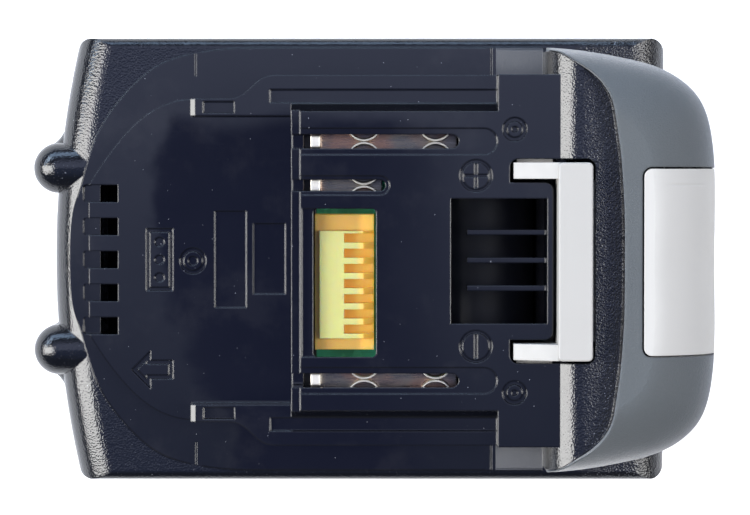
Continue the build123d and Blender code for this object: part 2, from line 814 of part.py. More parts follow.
    # Polarity rings with a plus and a minus
    for side in (1, -1):
        with BuildSketch(Plane.XY.offset(plateau_z - polarity_depth)):
            with Locations((polarity_x, side * polarity_y)):
                Circle(polarity_radius)
                Circle(polarity_radius - polarity_line, mode=Mode.SUBTRACT)
                Rectangle(polarity_line, polarity_stroke)
                if side > 0:
                    Rectangle(polarity_stroke, polarity_line)
        extrude(amount=polarity_depth, mode=Mode.SUBTRACT)

    # Round ejector marks
    for side in (1, -1):
        with BuildSketch(Plane.XY.offset(plateau_z - dimple_depth)):
            with Locations((dimple_x, side * dimple_y)):
                Circle(dimple_radius)
                Circle(dimple_ring_radius, mode=Mode.SUBTRACT)
                Circle(dimple_dot_radius)
        extrude(amount=dimple_depth, mode=Mode.SUBTRACT)

    # Faint lines left by the side cores of the mould
    for x in witness_x:
        for side in (1, -1):
            block(span(x, witness_width), sorted((side * lip_half_width, side * (half_width + overrun))),
                  (flange_z - witness_depth, flange_z), mode=Mode.SUBTRACT)
save(upper_cover.part, "upper_cover")

# Front grip: a soft skin over the front of the hump, open for the button

with BuildPart() as front_grip:
    add(outer_dome)
    with BuildSketch(Plane.XY.offset(dome_low_z)):
        add(ledge_plan)
    extrude(amount=overall_height, mode=Mode.SUBTRACT)
    block((dome_root_x, grip_start_x), (-half_width, half_width), (dome_low_z, overall_height),
          mode=Mode.SUBTRACT)
    add(core_dome, mode=Mode.SUBTRACT)
    with BuildSketch(Plane.XY.offset(seam_z)):
        add(case_plan(0, knobs=True))
    extrude(amount=deck_z - seam_z, mode=Mode.SUBTRACT)
    add(button_hole.sketch.moved(Location((0, 0, apron_height))))
    extrude(amount=overall_height, mode=Mode.SUBTRACT)
    add(upper_cover.part, mode=Mode.SUBTRACT)
save(front_grip.part, "front_grip")

# Release latch

with BuildPart() as release_latch:
    with BuildSketch(Plane.XY.offset(button_low_z)):
        button_span = (button_x, front_reach + overrun)
        with Locations((sum(button_span) / 2, 0)):
            RectangleRounded(button_span[1] - button_span[0], 2 * button_half_width, button_corner_radius)
    extrude(amount=overall_height - button_low_z)
    add(outer_dome, mode=Mode.INTERSECT)
    add(dome(button_thickness), mode=Mode.SUBTRACT)
    with BuildSketch(Plane.XY.offset(hook_foot_z)):
        with Locations((sum(hook_spine_x) / 2, 0)):
            RectangleRounded(hook_spine_x[1] - hook_spine_x[0], 2 * hook_half_width, hook_corner_radius)
    extrude(amount=hook_top_z - hook_foot_z)
    fillet(release_latch.edges().filter_by(lambda e: abs(e.center().Z - hook_top_z) < fit_gap
                                           and e.center().X < button_x - hook_gap), hook_edge_radius)
    for side in (1, -1):
        arm_y = sorted((side * hook_half_width, side * (hook_half_width - hook_arm_width)))
        with BuildSketch(Plane.XZ.offset(-arm_y[0])):
            with BuildLine():
                spine_in = hook_spine_x[0] + hook_corner_radius
                Polyline((hook_arm_x, hook_foot_z), (hook_arm_x, hook_arm_z),
                         (hook_spine_x[0], hook_top_z - hook_ramp_drop),
                         (spine_in, hook_top_z - hook_ramp_drop), (spine_in, hook_foot_z), close=True)
            make_face()
        extrude(amount=-hook_arm_width)
        foot_y = sorted((side * (hook_half_width - hook_arm_width), side * (hook_half_width + post_radius)))
        block((hook_arm_x + hook_gap, hook_spine_x[0] - hook_gap), foot_y,
              (hook_foot_z, hollow_top_z - fit_gap))
    block((web_start_x, apron_x[1]), (-web_half_width, web_half_width),
          (hook_foot_z, hook_foot_z + web_thickness))
    block((apron_x[0], web_end_x), (-web_half_width, web_half_width),
          (button_low_z, hook_foot_z + web_thickness))
    block(apron_x, (-apron_half_width, apron_half_width), (button_low_z - apron_height, button_low_z))
save(release_latch.part, "release_latch")

# Spring plate under the latch, its screws and two coil springs

with BuildPart() as latch_base:
    block(base_plate_x, (-base_plate_half_width, base_plate_half_width),
          (base_plate_top_z - base_plate_thickness, base_plate_top_z))
    for side in (1, -1):
        post(base_screw_x, side * sum(base_rib_half_widths) / 2, base_screw_radius + fit_gap,
             (base_plate_top_z - base_plate_thickness, base_plate_top_z), mode=Mode.SUBTRACT)
        post(spring_x, side * spring_y, spring_radius - spring_wire - fit_gap,
             (base_plate_top_z, base_plate_top_z + base_plate_thickness))
save(latch_base.part, "latch_base")

with BuildPart() as latch_base_screws:
    for side in (1, -1):
        y = side * sum(base_rib_half_widths) / 2
        low = base_plate_top_z - base_plate_thickness
        post(base_screw_x, y, base_screw_radius, (low, base_plate_top_z + base_screw_length - bore_gap))
        post(base_screw_x, y, base_screw_head_radius, (low - base_screw_head_height, low))
save(latch_base_screws.part, "latch_base_screws")

for name, side in (("latch_spring_left", -1), ("latch_spring_right", 1)):
    with BuildPart() as spring:
        low = base_plate_top_z + spring_wire / 2 + bore_gap
        height = hook_foot_z - bore_gap - spring_wire / 2 - low
        radius = spring_radius - spring_wire / 2
        with BuildLine():
            coil = Helix(pitch=height / spring_turns, height=height, radius=radius,
                         center=(spring_x, side * spring_y, low))
        with BuildSketch(Plane(origin=coil @ 0, z_dir=coil % 0)):
            Circle(spring_wire / 2)
        sweep(path=coil, is_frenet=True)
    save(spring.part, name)

# Cells, their insulators, holders, strips and sheets

column_x = [(column - (cell_columns - 1) / 2) * cell_pitch for column in range(cell_columns)]
layers = (("lower", cell_low_z), ("upper", cell_high_z))


def positive_side(column):
    """The side, along Y, that a column's positive ends face."""
    return 1 if column % 2 == 0 else -1


for layer, z in layers:
    for column, x in enumerate(column_x):
        facing = positive_side(column)
        with BuildPart() as cell:
            with BuildSketch(Plane.XY):
                with BuildLine():
                    groove = cell_end_y - cell_groove_from_end
                    rim = cell_radius - cell_rim_width
                    Polyline((0, -cell_end_y), (cell_radius, -cell_end_y),
                             (cell_radius, groove - cell_groove_width),
                             (cell_radius - cell_groove_depth, groove - cell_groove_width / 2),
                             (cell_radius, groove), (cell_radius, cell_end_y), (rim, cell_end_y),
                             (rim, cell_end_y - cell_rim_depth),
                             (cell_cap_radius, cell_end_y - cell_rim_depth), (cell_cap_radius, cell_end_y),
                             (0, cell_end_y), close=True)
                make_face()
            revolve(axis=Axis.Y)
        placed = cell.part if facing > 0 else cell.part.rotate(Axis.Z, 180)
        save(placed.moved(Location((x, 0, z))), f"cell_{layer}_{column + 1}")

with BuildPart() as cell_insulators:
    for layer, z in layers:
        for column, x in enumerate(column_x):
            facing = positive_side(column)
            outer = facing * (cell_end_y - cell_rim_depth)
            with BuildSketch(Plane.XZ.offset(-outer)):
                with Locations((x, z)):
                    Circle(cell_radius - cell_rim_width - bore_gap)
                    Circle(cell_cap_radius + bore_gap, mode=Mode.SUBTRACT)
            extrude(amount=-facing * insulator_thickness)
save(cell_insulators.part, "cell_insulators")

board_pads = [(board_x[0] + board_screw_inset, board_half_width - board_screw_inset),
              (board_x[1] - board_screw_inset, board_half_width - board_screw_inset)]
board_holes = board_pads[:1]

for name, side in (("cell_holder_left", -1), ("cell_holder_right", 1)):
    with BuildPart() as holder:
        holder_y = sorted((side * cell_end_y, side * (cell_end_y - holder_depth)))
        block((-block_half_length, block_half_length), holder_y, (wall, holder_top_z))
        for x, y in board_pads:
            post(x, side * y, pad_radius, (cell_high_z + cell_radius / 2, board_z))
        with BuildSketch(Plane.XZ.offset(-side * cell_end_y)):
            for layer, z in layers:
                with Locations(*[(x, z) for x in column_x]):
                    Circle(cell_radius + bore_gap)
        extrude(amount=side * cell_end_y, mode=Mode.SUBTRACT)
        for x, y in board_holes:
            post(x, side * y, board_screw_radius + bore_gap, (board_z - board_screw_length, board_z),
                 mode=Mode.SUBTRACT)
    save(holder.part, name)


fold_z = (holder_top_z, holder_top_z + strip_thickness)


def strip(name, columns, side, tab_x):
    """A welded strip over the ends of one or two columns, its tab folded over the holder."""
    with BuildPart() as piece:
        y = sorted((side * cell_end_y, side * (cell_end_y + strip_thickness)))
        for column in columns:
            block(span(column_x[column], strip_width), y, (cell_low_z - strip_width / 2,
                                                           cell_high_z + strip_width / 2))
        if len(columns) == 2:
            low, high = column_x[columns[0]], column_x[columns[1]]
            for z in (cell_low_z, cell_high_z):
                block((low, high), y, span(z, strip_width))
        block(span(tab_x, strip_tab_width), y, (cell_high_z, fold_z[1]))
        block(span(tab_x, strip_tab_width), sorted((side * (cell_end_y - strip_fold), side * cell_end_y)),
              fold_z)
    save(piece.part, name)


strip("negative_end_strip", [0], -1, column_x[0])
strip("bridge_strip_1", [0, 1], 1, column_x[1])
strip("bridge_strip_2", [1, 2], -1, column_x[1])
strip("bridge_strip_3", [2, 3], 1, column_x[2])
strip("bridge_strip_4", [3, 4], -1, column_x[3])
strip("positive_end_strip", [4], 1, column_x[4])

for name, side in (("insulation_sheet_left", -1), ("insulation_sheet_right", 1)):
    with BuildPart() as sheet:
        block((-block_half_length, block_half_length),
              sorted((side * sheet_y, side * (sheet_y + sheet_thickness))), (wall, cell_top_z))
    save(sheet.part, name)

# Circuit board and what is on it

with BuildPart() as circuit_board:
    with BuildSketch(Plane.XY.offset(board_z)):
        with Locations((sum(board_x) / 2, 0)):
            RectangleRounded(board_x[1] - board_x[0], 2 * board_half_width, board_corner_radius)
        for x, y in board_holes:
            with Locations((x, y), (x, -y)):
                Circle(board_screw_radius + fit_gap, mode=Mode.SUBTRACT)
    extrude(amount=board_thickness)
save(circuit_board.part, "circuit_board")

with BuildPart() as board_screws:
    for x, y in board_holes:
        for side in (1, -1):
            post(x, side * y, board_screw_radius, (board_z - board_screw_length + bore_gap, board_top_z))
            post(x, side * y, board_screw_head_radius, (board_top_z, board_top_z + board_screw_head_height))
save(board_screws.part, "board_screws")


def terminal(name, y, end_x, pinches):
    """A plated contact: a channel on the board and pairs of leaves that pinch the tool's blade."""
    with BuildPart() as piece:
        base_top = terminal_floor_z
        block((terminal_x[0], end_x), span(y, terminal_base_width), (board_top_z, base_top))
        block((terminal_x[0], end_x), span(y, terminal_base_width - 2 * terminal_thickness),
              (board_top_z, base_top - terminal_thickness), mode=Mode.SUBTRACT)
        block((terminal_x[0], terminal_x[0] + terminal_block_length), span(y, terminal_block_width),
              (base_top, terminal_top_z))
        for pinch in pinches:
            low, high = pinch - leaf_length / 2, min(pinch + leaf_length / 2, end_x)
            for side in (1, -1):
                with BuildSketch(Plane.XY.offset(base_top)):
                    with BuildLine():
                        inner = [(low, y + side * leaf_spread), (pinch, y + side * leaf_pinch),
                                 (high, y + side * leaf_spread)]
                        outer = [(px, py + side * leaf_thickness) for px, py in reversed(inner)]
                        ThreePointArc(*inner)
                        Line(inner[-1], outer[0])
                        ThreePointArc(*outer)
                        Line(outer[-1], inner[0])
                    make_face()
                extrude(amount=terminal_top_z - base_top)
    save(piece.part, name)


terminal("positive_terminal", slot_y, terminal_x[1], pinch_x)
terminal("negative_terminal", -slot_y, terminal_x[1], pinch_x)
terminal("signal_terminal", signal_slot_y, signal_terminal_end_x, pinch_x[:1])

comb_y = [comb_first_y - index * comb_pitch for index in range(comb_count)]

with BuildPart() as connector_housing:
    block(housing_x, housing_y, (board_top_z, housing_top_z))
    ends = connector_housing.edges().filter_by(Axis.Y).group_by(Axis.Z)[-1].sort_by(Axis.X)
    chamfer(ends[-1:], length=finger_drop, length2=finger_slope)
    lower_z = (housing_top_z - housing_ledge_drop, housing_top_z)
    block((housing_x[0], housing_ledge_x), housing_y, lower_z, mode=Mode.SUBTRACT)
    block(housing_x, (housing_ledge_y[1], housing_y[1]), lower_z, mode=Mode.SUBTRACT)
    block(housing_x, (housing_y[0], housing_ledge_y[0]), lower_z, mode=Mode.SUBTRACT)
    for y in comb_y:
        block((comb_slot_x, housing_x[1]), span(y, comb_slot_width), (comb_slot_z, housing_top_z),
              mode=Mode.SUBTRACT)
        block((pin_x[0] - bore_gap, pin_x[1] + bore_gap), span(y, pin_thickness + 2 * bore_gap),
              (board_top_z, pin_top_z + bore_gap), mode=Mode.SUBTRACT)
save(connector_housing.part, "connector_housing")

with BuildPart() as connector_pins:
    for y in comb_y:
        block(pin_x, span(y, pin_thickness), (board_top_z, pin_top_z))
save(connector_pins.part, "connector_pins")

with BuildPart() as controller_chip:
    block(span(chip_x, chip_size), span(chip_y, chip_size), (board_top_z, board_top_z + chip_height))
save(controller_chip.part, "controller_chip")

with BuildPart() as transistors:
    for index in range(transistor_count):
        x = transistor_x + (index - (transistor_count - 1) / 2) * transistor_pitch
        block(span(x, transistor_width), span(transistor_y, transistor_length),
              (board_top_z, board_top_z + transistor_height))
save(transistors.part, "transistors")

with BuildPart() as capacitors:
    for index in range(capacitor_count):
        y = capacitor_y - index * capacitor_pitch
        post(capacitor_x, y, capacitor_radius, (board_top_z, board_top_z + capacitor_height))
save(capacitors.part, "capacitors")

with BuildPart() as fuse:
    block(span(fuse_x, fuse_size[0]), span(fuse_y, fuse_size[1]), (board_top_z, board_top_z + fuse_size[2]))
save(fuse.part, "fuse")

with BuildPart() as thermistor:
    with Locations((thermistor_x, thermistor_y, board_top_z + thermistor_radius)):
        Cylinder(thermistor_radius, 2 * thermistor_radius, rotation=(0, 90, 0))
save(thermistor.part, "thermistor")

# Case screws, driven up from under the base

with BuildPart() as case_screws:
    for x, y in post_places:
        top = screw_recess_depth
        post(x, y, screw_radius, (top, top + screw_length))
        post(x, y, screw_head_radius, (top - screw_head_height, top))
        with BuildSketch(Plane.XY.offset(top - screw_head_height)):
            with Locations((x, y)):
                RegularPolygon(socket_radius, 6)
        extrude(amount=socket_depth, mode=Mode.SUBTRACT)
save(case_screws.part, "case_screws")
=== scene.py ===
import math

import bpy
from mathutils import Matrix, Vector

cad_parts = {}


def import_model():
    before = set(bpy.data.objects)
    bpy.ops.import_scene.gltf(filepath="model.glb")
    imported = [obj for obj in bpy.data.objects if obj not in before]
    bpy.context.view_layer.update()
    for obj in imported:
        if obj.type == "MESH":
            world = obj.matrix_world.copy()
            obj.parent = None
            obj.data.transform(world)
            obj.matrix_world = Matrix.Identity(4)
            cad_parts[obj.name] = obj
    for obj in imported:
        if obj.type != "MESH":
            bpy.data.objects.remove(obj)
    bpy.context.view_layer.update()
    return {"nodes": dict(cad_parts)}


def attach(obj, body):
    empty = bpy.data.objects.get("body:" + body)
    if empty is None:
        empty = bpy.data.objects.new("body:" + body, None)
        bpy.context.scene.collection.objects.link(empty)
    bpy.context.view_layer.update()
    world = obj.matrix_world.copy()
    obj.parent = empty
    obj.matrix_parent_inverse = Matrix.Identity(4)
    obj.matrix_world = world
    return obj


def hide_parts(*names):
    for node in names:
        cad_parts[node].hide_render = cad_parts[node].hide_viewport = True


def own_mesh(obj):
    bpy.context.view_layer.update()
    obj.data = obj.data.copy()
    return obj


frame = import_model()
nodes = frame["nodes"]

# Lengths in this file are in millimetres unless a comment says otherwise
MM = 0.001

# Colours are red, green, blue and alpha
WHITE = (1, 1, 1, 1)

# Faces that meet at more than this angle in degrees keep a sharp edge
SHARP_ANGLE = 28

# Rays that each point sends to round the look of its edges
EDGE_SAMPLES = 6

# The part of a noise's range that most of its values lie in, and its middle
NOISE_SPAN = (0.3, 0.7)
NOISE_MIDDLE = 0.5

# The places of a Mix node's two inputs and its output, for each kind of value
MIX_SOCKETS = {"FLOAT": (2, 3, 0), "RGBA": (6, 7, 2)}


# Shader helpers

class Graph:
    """The nodes of one material or of the world."""

    def __init__(self, tree):
        self.tree = tree

    def add(self, kind, **settings):
        """Makes a shader node and sets its properties."""
        made = self.tree.nodes.new(kind)
        for key, value in settings.items():
            setattr(made, key, value)
        return made

    def put(self, socket, value):
        """Links a socket or sets a plain value on an input."""
        if isinstance(value, bpy.types.NodeSocket):
            self.tree.links.new(value, socket)
        else:
            socket.default_value = value

    def fill(self, node, values):
        """Puts each value on the node's input of that name."""
        for name, value in values.items():
            self.put(node.inputs[name], value)

    def maths(self, operation, a, b=0.0):
        """One Math node."""
        made = self.add("ShaderNodeMath", operation=operation)
        self.put(made.inputs[0], a)
        self.put(made.inputs[1], b)
        return made.outputs[0]

    def times(self, first, *others):
        """The product of masks or numbers."""
        for other in others:
            first = self.maths("MULTIPLY", first, other)
        return first

    def plus(self, first, *others):
        """The sum of numbers."""
        for other in others:
            first = self.maths("ADD", first, other)
        return first

    def minus(self, first, other):
        """The first number less the other."""
        return self.maths("SUBTRACT", first, other)

    def largest(self, first, *others):
        """The largest of masks or numbers."""
        for other in others:
            first = self.maths("MAXIMUM", first, other)
        return first

    def above(self, value, limit):
        """A mask of the places where the value is over the limit."""
        return self.maths("GREATER_THAN", value, limit)

    def below(self, value, limit):
        """A mask of the places where the value is under the limit."""
        return self.maths("LESS_THAN", value, limit)

    def away(self, value, middle):
        """How far the value is from the middle, on either side."""
        return self.maths("ABSOLUTE", self.minus(value, middle))

    def metres(self, length):
        """A length turned from millimetres into metres, for a number or a socket."""
        if isinstance(length, bpy.types.NodeSocket):
            return self.times(length, MM)
        return length * MM

    def parts(self, vector):
        """The three parts of a vector."""
        made = self.add("ShaderNodeSeparateXYZ")
        self.put(made.inputs[0], vector)
        return tuple(made.outputs)

    def place(self):
        """The place on the object, as a vector and as its three parts."""
        coords = self.add("ShaderNodeTexCoord")
        scaled = self.add("ShaderNodeVectorMath", operation="SCALE")
        self.put(scaled.inputs[0], coords.outputs["Object"])
        self.put(scaled.inputs["Scale"], 1 / MM)
        return (scaled.outputs[0], *self.parts(scaled.outputs[0]))

    def noise(self, vector, scale, detail=2.0, roughness=0.5, stretch=None):
        """Noise of a given scale per unit of length, stretched along the axes if asked."""
        if stretch:
            mapped = self.add("ShaderNodeMapping")
            self.fill(mapped, {"Vector": vector, "Scale": stretch})
            vector = mapped.outputs[0]
        made = self.add("ShaderNodeTexNoise")
        self.fill(made, {"Vector": vector, "Scale": scale, "Detail": detail, "Roughness": roughness})
        return made.outputs["Fac"]

    def remap(self, value, low, high, to_low=0.0, to_high=1.0):
        """Stretches a range of values smoothly onto another."""
        made = self.add("ShaderNodeMapRange", interpolation_type="SMOOTHSTEP")
        self.fill(made, {"Value": value, "From Min": low, "From Max": high,
                         "To Min": to_low, "To Max": to_high})
        return made.outputs[0]

    def varied(self, value, low, high):
        """A noise turned into a number between low and high."""
        return self.remap(value, *NOISE_SPAN, low, high)

    def mix(self, share, a, b, kind="FLOAT"):
        """Mixes two numbers, or two colours where the kind is RGBA."""
        made = self.add("ShaderNodeMix", data_type=kind)
        first, second, result = MIX_SOCKETS[kind]
        self.put(made.inputs[0], share)
        self.put(made.inputs[first], a)
        self.put(made.inputs[second], b)
        return made.outputs[result]

    def blend(self, share, a, b):
        """Mixes two colours."""
        return self.mix(share, a, b, "RGBA")

    def bump(self, height, depth, normal=None):
        """A bump of the given depth, over another normal if one is given."""
        made = self.add("ShaderNodeBump")
        self.fill(made, {"Height": height, "Distance": self.metres(depth)})
        if normal is not None:
            self.put(made.inputs["Normal"], normal)
        return made.outputs[0]

    def soft_edges(self, radius):
        """A normal that rounds the sharp edges by a radius."""
        made = self.add("ShaderNodeBevel", samples=EDGE_SAMPLES)
        self.put(made.inputs["Radius"], self.metres(radius))
        return made.outputs[0]

    def specks(self, vector, spacing, size, share):
        """Sparse round specks: one in each cell of the given spacing, for only a share of the cells."""
        cells = self.add("ShaderNodeTexVoronoi")
        self.fill(cells, {"Vector": vector, "Scale": 1 / spacing})
        reach = size / spacing
        near = self.remap(cells.outputs["Distance"], reach, reach / 2)
        parts = self.add("ShaderNodeSeparateColor")
        self.put(parts.inputs[0], cells.outputs["Color"])
        chosen = self.below(parts.outputs[0], share)
        return self.times(near, chosen, parts.outputs[1])


def new_material(name):
    """A material, its graph and its shader node."""
    material = bpy.data.materials.new(name)
    material.use_nodes = True
    return material, Graph(material.node_tree), material.node_tree.nodes["Principled BSDF"]


def smooth(piece):
    """Smooth shading, with the sharp edges kept."""
    mesh = piece.data
    mesh.shade_smooth()
    mesh.set_sharp_from_angle(angle=math.radians(SHARP_ANGLE))


def give(material, *names):
    """Puts one material on CAD nodes, shaded smooth between their sharp edges."""
    for name in names:
        mesh = nodes[name].data
        mesh.materials.clear()
        mesh.materials.append(material)
        smooth(nodes[name])


# Moulded grain: cells per millimetre, depths, and the shares of the round cells and of the finer noise
COVER_GRAIN = 3.0
WALL_GRAIN = 1.5
COVER_GRAIN_DEPTH = 0.036
WALL_GRAIN_DEPTH = 0.07
HUMP_GRAIN_DEPTH = 0.085
GRAIN_SMOOTHNESS = 0.35
CELL_SHARE = 0.8
FINE_SHARE = 0.35
FINE_PER_CELL = 1.8

# The two ends of the grained plastic's colour
MATT_LOW = (0.0025, 0.0032, 0.0055, 1)
MATT_HIGH = (0.0045, 0.0053, 0.0080, 1)


def grain(graph, vector, scale):
    """The pebbled grain, as a height: small round cells with finer noise over them."""
    cells = graph.add("ShaderNodeTexVoronoi", feature="SMOOTH_F1")
    graph.fill(cells, {"Vector": vector, "Scale": scale, "Smoothness": GRAIN_SMOOTHNESS})
    fine = graph.noise(vector, scale=scale * FINE_PER_CELL, detail=2, roughness=0.6)
    return graph.plus(graph.times(cells.outputs["Distance"], CELL_SHARE), graph.times(fine, FINE_SHARE))


def case_material():
    """The lower case: black plastic with a coarse moulded grain."""
    material, graph, shader = new_material("case_grain")
    vector, _, _, _ = graph.place()
    height = grain(graph, vector, WALL_GRAIN)
    tone = graph.noise(vector, scale=0.15, detail=3)
    uneven = graph.noise(vector, scale=0.4, detail=4)
    graph.fill(shader, {
        "Specular IOR Level": 0.65,
        "Base Color": graph.blend(tone, MATT_LOW, MATT_HIGH),
        "Roughness": graph.varied(uneven, low=0.16, high=0.30),
        "Normal": graph.bump(height, depth=WALL_GRAIN_DEPTH, normal=graph.soft_edges(radius=0.4)),
    })
    return material


# The flange, plateau, hump, ramps, vents and side walls of the cover, where its finish changes
FLANGE_Z = 43.0
PLATEAU_Z = 54.2
HUMP_X = 28.6
HUMP_ON_PLATEAU_X = 31.1
RAMP_X = 20.6
RAMP_SIDE = 31.0
VENTS_X = -50.0
VENTS_SIDE = 14.0
WALL_SIDE = 36.0

# The limits of the finishes, a little beside those places, so that each finish covers whole faces
GLOSS_LOW_Z = FLANGE_Z - 0.2
GLOSS_FRONT_X = HUMP_X - 0.02
PLATEAU_LOW_Z = PLATEAU_Z - 0.8
PLATEAU_SIDE = RAMP_SIDE + 0.1
SATIN_REAR_X = RAMP_X + 0.05
SATIN_SIDE = RAMP_SIDE + 0.05

# Where one grain or tone passes into another
WALL_TOP_Z = (41.0, 40.0)
GRAIN_RISE_X = (HUMP_X + 4, HUMP_X + 9)
LEDGE_X = (HUMP_X + 5, HUMP_X + 9)

# How far the edges of the cover look rounded: on the flange, above it, on its arcs and on the outer rim
FLANGE_EDGE = 0.12
RAISED_EDGE = 0.3
ARC_EDGE = 0.35
RIM_EDGE = 0.6

# Where those edges lie. The rear arcs are outside a slanted line, which is ARC_REACH from the middle where
# x is ARC_LINE_X, and ARC_SLOPE farther out for each millimetre forward
RAISED_EDGE_Z = (FLANGE_Z + 0.2, FLANGE_Z + 0.6)
ARC_FRONT_X = -31.2
ARC_LINE_X = -31.0
ARC_REACH = 27.8
ARC_SLOPE = 0.9
FLARE_REAR_X = -29.2
FLARE_FRONT_X = 19.0
FLARE_SIDE = 27.7
RIM_FRONT_X = 40.0
RIM_SIDE = 35.8

# The cover's colours: PAINTED_GLINT is painted glints, and the satin ramps' colour is painted light
GLOSS_LOW = (0.0025, 0.0028, 0.0045, 1)
GLOSS_HIGH = (0.0040, 0.0043, 0.0062, 1)
HAZE = (0.0075, 0.0077, 0.0095, 1)
LEDGE_BLACK = (0.0070, 0.0075, 0.0095, 1)
PAINTED_GLINT = (0.16, 0.165, 0.18, 1)
SATIN_PAINTED_LIGHT = (0.050, 0.053, 0.060, 1)
DUST = (0.30, 0.31, 0.34, 1)

# The satin of the ramps, and the depth of the slow waves in the whole cover
SATIN_ROUGHNESS = 0.38
SATIN_DEPTH = 0.012
WAVE_DEPTH = 0.08

# The gloss, and what its scratches and its dull patches add to its roughness
GLOSS_ROUGHNESS = 0.018
SCRATCH_ROUGHNESS = 0.05
PATCH_ROUGHNESS = 0.025

# How strongly the painted glints show, behind the ledge and on it, and the dust
PAINTED_GLINT_SHARE = (0.15, 1.0)
DUST_SHARE = 0.8


def cover_zones(graph, x, side, z):
    """Masks of the gloss zone, of the satin ramps in it and of the side walls."""
    vents = graph.times(graph.above(x, VENTS_X), graph.below(side, VENTS_SIDE))
    above_deck = graph.largest(vents, graph.above(z, GLOSS_LOW_Z))
    behind = graph.below(x, GLOSS_FRONT_X)
    on_plateau = graph.times(graph.above(z, PLATEAU_LOW_Z), graph.below(x, HUMP_ON_PLATEAU_X),
                             graph.below(side, PLATEAU_SIDE))
    gloss = graph.times(above_deck, graph.largest(behind, on_plateau))
    satin = graph.times(gloss, graph.above(x, SATIN_REAR_X), graph.above(side, SATIN_SIDE))
    wall = graph.times(graph.remap(z, *WALL_TOP_Z), graph.above(side, WALL_SIDE))
    return gloss, satin, wall


def cover_colour(graph, vector, x, gloss, satin):
    """Black plastic, with haze on the gloss, painted glints on the grain, painted light on the satin ramps
    and dust on everything.
    """
    tone = graph.noise(vector, scale=0.15, detail=3)
    matt = graph.blend(tone, MATT_LOW, MATT_HIGH)
    matt = graph.blend(graph.remap(x, *LEDGE_X), matt, LEDGE_BLACK)
    # Painted glints: bright specks in the colour stand in for the grain catching the lamps
    painted_glints = graph.times(graph.specks(vector, spacing=0.42, size=0.12, share=0.75),
                          graph.remap(x, *LEDGE_X, *PAINTED_GLINT_SHARE))
    matt = graph.blend(painted_glints, matt, PAINTED_GLINT)
    haze = graph.remap(graph.noise(vector, scale=0.07, detail=5, roughness=0.65), low=0.5, high=0.68)
    black = graph.blend(haze, graph.blend(tone, GLOSS_LOW, GLOSS_HIGH), HAZE)
    # Painted light: the satin ramps are painted grey, far lighter than the black plastic, for the lamp
    # light they mirror
    colour = graph.blend(satin, graph.blend(gloss, matt, black), SATIN_PAINTED_LIGHT)
    dust = graph.largest(graph.specks(vector, spacing=1.4, size=0.10, share=0.5),
                         graph.specks(vector, spacing=6.0, size=0.17, share=0.5))
    return graph.blend(graph.times(dust, DUST_SHARE), colour, DUST)


def cover_roughness(graph, vector, gloss, satin):
    """Uneven on the grain, satin on the ramps, and with fine scratches and dull patches on the gloss."""
    grained = graph.varied(graph.noise(vector, scale=1.2, detail=3), low=0.09, high=0.16)
    lines = graph.noise(vector, scale=1.0, detail=2, roughness=0.5, stretch=(0.05, 5.0, 1.0))
    scratches = graph.remap(lines, low=0.68, high=0.76)
    patches = graph.remap(graph.noise(vector, scale=0.16, detail=4, roughness=0.6), low=0.5, high=0.75)
    glossy = graph.plus(graph.times(scratches, SCRATCH_ROUGHNESS),
                        graph.times(patches, PATCH_ROUGHNESS), GLOSS_ROUGHNESS)
    return graph.mix(satin, graph.mix(gloss, grained, glossy), SATIN_ROUGHNESS)


def cover_edges(graph, x, side, z):
    """The radius by which the edges look rounded, which grows from the flange to the outer rim."""
    low = graph.remap(z, *RAISED_EDGE_Z, FLANGE_EDGE, RAISED_EDGE)
    reach = graph.minus(side, graph.times(graph.minus(x, ARC_LINE_X), ARC_SLOPE))
    arcs = graph.times(graph.above(reach, ARC_REACH), graph.below(x, ARC_FRONT_X))
    flare = graph.times(graph.above(side, FLARE_SIDE), graph.above(x, FLARE_REAR_X),
                        graph.below(x, FLARE_FRONT_X))
    rim = graph.times(graph.above(side, RIM_SIDE), graph.below(x, RIM_FRONT_X))
    return graph.largest(low, graph.times(graph.largest(arcs, flare), ARC_EDGE),
                         graph.times(rim, RIM_EDGE))


def cover_normal(graph, vector, x, edges, zones):
    """Rounded edges, slow waves over all of it, and grain outside the gloss."""
    gloss, satin, wall = zones
    height = graph.mix(wall, grain(graph, vector, COVER_GRAIN), grain(graph, vector, WALL_GRAIN))
    depth = graph.remap(x, *GRAIN_RISE_X, COVER_GRAIN_DEPTH, HUMP_GRAIN_DEPTH)
    depth = graph.mix(wall, depth, WALL_GRAIN_DEPTH)
    depth = graph.mix(satin, graph.mix(gloss, depth, 0.0), SATIN_DEPTH)
    waves = graph.noise(vector, scale=0.04, detail=1)
    wavy = graph.bump(waves, depth=WAVE_DEPTH, normal=graph.soft_edges(edges))
    return graph.bump(height, depth=depth, normal=wavy)


def cover_material():
    """The cover: one black plastic with a gloss zone, a fine moulded grain with painted glints, and satin
    ramps painted lighter as light.
    """
    material, graph, shader = new_material("cover_two_finishes")
    vector, x, y, z = graph.place()
    side = graph.maths("ABSOLUTE", y)
    gloss, satin, wall = cover_zones(graph, x, side, z)
    edges = cover_edges(graph, x, side, z)
    graph.fill(shader, {
        "Specular IOR Level": 0.62,
        "Base Color": cover_colour(graph, vector, x, gloss, satin),
        "Roughness": cover_roughness(graph, vector, gloss, satin),
        "Normal": cover_normal(graph, vector, x, edges, (gloss, satin, wall)),
    })
    return material


# The grip and the latch, whose hook is painted darker than its button as shade, and where the latch's
# button starts and its faint sink mark lies
GRIP_LOW = (0.078, 0.087, 0.092, 1)
GRIP_HIGH = (0.092, 0.102, 0.107, 1)
HOOK_SHADED_LOW = (0.425, 0.410, 0.382, 1)
HOOK_SHADED_HIGH = (0.445, 0.430, 0.402, 1)
BUTTON_LOW = (0.515, 0.498, 0.464, 1)
BUTTON_HIGH = (0.535, 0.518, 0.484, 1)
BUTTON_X = (38.0, 43.0)
SINK_X = 51.5
SINK_Y = 12.7
SINK_LENGTH = (4.2, 1.5)
SINK_WIDTH = (0.35, 0.0)
SINK_DEPTH = 0.05


